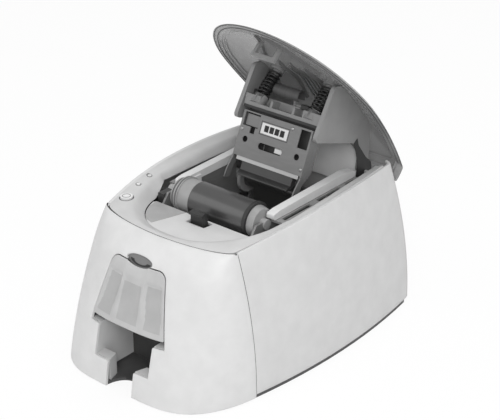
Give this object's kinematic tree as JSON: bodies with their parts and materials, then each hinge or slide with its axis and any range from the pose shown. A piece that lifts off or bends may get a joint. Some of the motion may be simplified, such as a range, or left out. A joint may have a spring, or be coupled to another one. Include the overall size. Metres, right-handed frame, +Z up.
{
  "type": "id card printer",
  "caption": "Desktop id card printer with a smoked lid raised over its ribbon spools and print head, a feeder door and a card outlet in the front.",
  "frame": {"origin": "on the desk plane under the centre of the body, at the middle of its outline", "axes": "+X to the machine's right seen from its front, +Y to its rear, +Z up; the card feeder and outlet face -Y"},
  "size_m": [0.205, 0.3054, 0.2681],
  "materials": {
    "front_shell": "satin",
    "side_shell": "satin",
    "bezel_shell": "satin",
    "deck_plastic": "satin",
    "grey_plastic": "satin",
    "lid_rib_grey": "satin",
    "dark_plastic": "matte",
    "white_plastic": "gloss",
    "smoked_lid": "gloss",
    "chassis_metal": "satin",
    "bracket_metal": "satin",
    "sink_aluminium": "satin",
    "steel": "brushed",
    "spring_steel": "satin",
    "motor_steel": "satin",
    "bush_brass": "satin",
    "ribbon_film": "gloss",
    "roller_rubber": "matte",
    "foot_rubber": "matte",
    "belt_rubber": "matte",
    "cleaning_blue": "matte",
    "cable_white": "matte",
    "head_ceramic": "gloss",
    "board_green": "matte"
  },
  "bodies": {
    "chassis": {"base_pan": "dark_plastic", "rubber_feet": "foot_rubber", "front_panel": "front_shell", "side_panel_left": "side_shell", "side_panel_right": "side_shell", "rear_panel": "side_shell", "top_bezel": "bezel_shell", "latch_deck": "deck_plastic", "inner_decks": "bezel_shell", "rail_left": "deck_plastic", "rail_right": "deck_plastic", "side_plates": "chassis_metal", "cross_braces": "steel", "feeder_tray": "side_shell", "output_hopper": "deck_plastic", "card_throat": "dark_plastic", "card_guide": "grey_plastic", "shaft_bushes": "bush_brass", "drive_motor": "motor_steel", "takeup_motor": "motor_steel", "drive_belt": "belt_rubber", "main_board": "board_green", "board_parts": "dark_plastic", "power_inlet": "dark_plastic", "usb_socket": "steel", "indicator_lights": "white_plastic", "hinge_shaft": "steel", "hinge_brackets": "chassis_metal", "ribbon_web": "ribbon_film", "panel_screws": "steel"},
    "lid": {"lid_shell": "smoked_lid", "lid_frame": "grey_plastic", "lid_rib": "lid_rib_grey", "lid_catch": "dark_plastic", "spring_posts": "grey_plastic", "head_cable": "cable_white", "head_springs": "spring_steel"},
    "head": {"head_bracket": "bracket_metal", "head_carrier": "grey_plastic", "head_sink": "sink_aluminium", "thermal_bar": "head_ceramic", "head_label": "white_plastic", "head_plug": "white_plastic"},
    "door": {"feeder_door": "front_shell"},
    "button": {"control_button": "white_plastic"},
    "latch": {"latch_hook": "dark_plastic"},
    "takeup": {"takeup_core": "white_plastic", "takeup_roll": "ribbon_film"},
    "takeup_coupling": {"takeup_drive": "deck_plastic"},
    "supply": {"supply_core": "white_plastic", "supply_roll": "ribbon_film"},
    "platen": {"platen_roller": "roller_rubber", "platen_shaft": "steel"},
    "transport": {"transport_roller": "roller_rubber", "transport_shaft": "steel"},
    "feed": {"feed_roller": "roller_rubber", "feed_shaft": "steel"},
    "motor_gear": {"motor_pulley": "steel"},
    "pinch": {"pinch_roller": "roller_rubber"},
    "cleaning": {"cleaning_roller": "cleaning_blue"}
  },
  "joints": [
    {"name": "lid_hinge", "type": "hinge", "parent": "chassis", "child": "lid", "pos_m": [0, 0.1097, 0.0802], "axis": [1, 0, 0], "range_deg": [0, 50.2]},
    {"name": "head_float", "type": "slide", "parent": "lid", "child": "head", "axis": [0, 0.7683, 0.6401], "range_m": [0, 0.0025], "stiffness_N_per_m": 4000, "springref_m": -0.003, "deforming": ["head_springs"]},
    {"name": "feeder_door_hinge", "type": "hinge", "parent": "chassis", "child": "door", "pos_m": [0, -0.1339, 0.0586], "axis": [1, 0, 0], "range_deg": [0, 75]},
    {"name": "button_press", "type": "slide", "parent": "chassis", "child": "button", "axis": [0, 0, -1], "range_m": [0, 0.001], "stiffness_N_per_m": 400, "springref_m": -0.0008},
    {"name": "latch_pivot", "type": "hinge", "parent": "chassis", "child": "latch", "pos_m": [0, -0.05175, 0.1005], "axis": [1, 0, 0], "range_deg": [-3, 8], "stiffness_Nm_per_rad": 0.06},
    {"name": "takeup_spin", "type": "hinge", "parent": "chassis", "child": "takeup", "pos_m": [0, -0.0236, 0.119], "axis": [1, 0, 0], "continuous": true},
    {"name": "takeup_drive_spin", "type": "hinge", "parent": "chassis", "child": "takeup_coupling", "pos_m": [0, -0.0236, 0.119], "axis": [1, 0, 0], "continuous": true},
    {"name": "supply_spin", "type": "hinge", "parent": "chassis", "child": "supply", "pos_m": [0, 0.057, 0.107], "axis": [1, 0, 0], "continuous": true},
    {"name": "platen_spin", "type": "hinge", "parent": "chassis", "child": "platen", "pos_m": [0, 0.0296, 0.0373], "axis": [1, 0, 0], "continuous": true},
    {"name": "transport_spin", "type": "hinge", "parent": "chassis", "child": "transport", "pos_m": [0, -0.018, 0.0383], "axis": [1, 0, 0], "continuous": true},
    {"name": "feed_spin", "type": "hinge", "parent": "chassis", "child": "feed", "pos_m": [0, -0.05, 0.0466], "axis": [1, 0, 0], "continuous": true},
    {"name": "motor_spin", "type": "hinge", "parent": "chassis", "child": "motor_gear", "pos_m": [0, 0.002, 0.067], "axis": [1, 0, 0], "continuous": true},
    {"name": "pinch_spin", "type": "hinge", "parent": "chassis", "child": "pinch", "pos_m": [0, -0.018, 0.0522], "axis": [1, 0, 0], "continuous": true},
    {"name": "cleaning_spin", "type": "hinge", "parent": "chassis", "child": "cleaning", "pos_m": [0, 0.004, 0.0546], "axis": [1, 0, 0], "continuous": true}
  ],
  "couplings": [
    {"joint": "takeup_drive_spin", "follows": "takeup_spin", "ratio": 1},
    {"joint": "transport_spin", "follows": "platen_spin", "ratio": 1},
    {"joint": "feed_spin", "follows": "platen_spin", "ratio": 1},
    {"joint": "motor_spin", "follows": "platen_spin", "ratio": 1.2857}
  ]
}
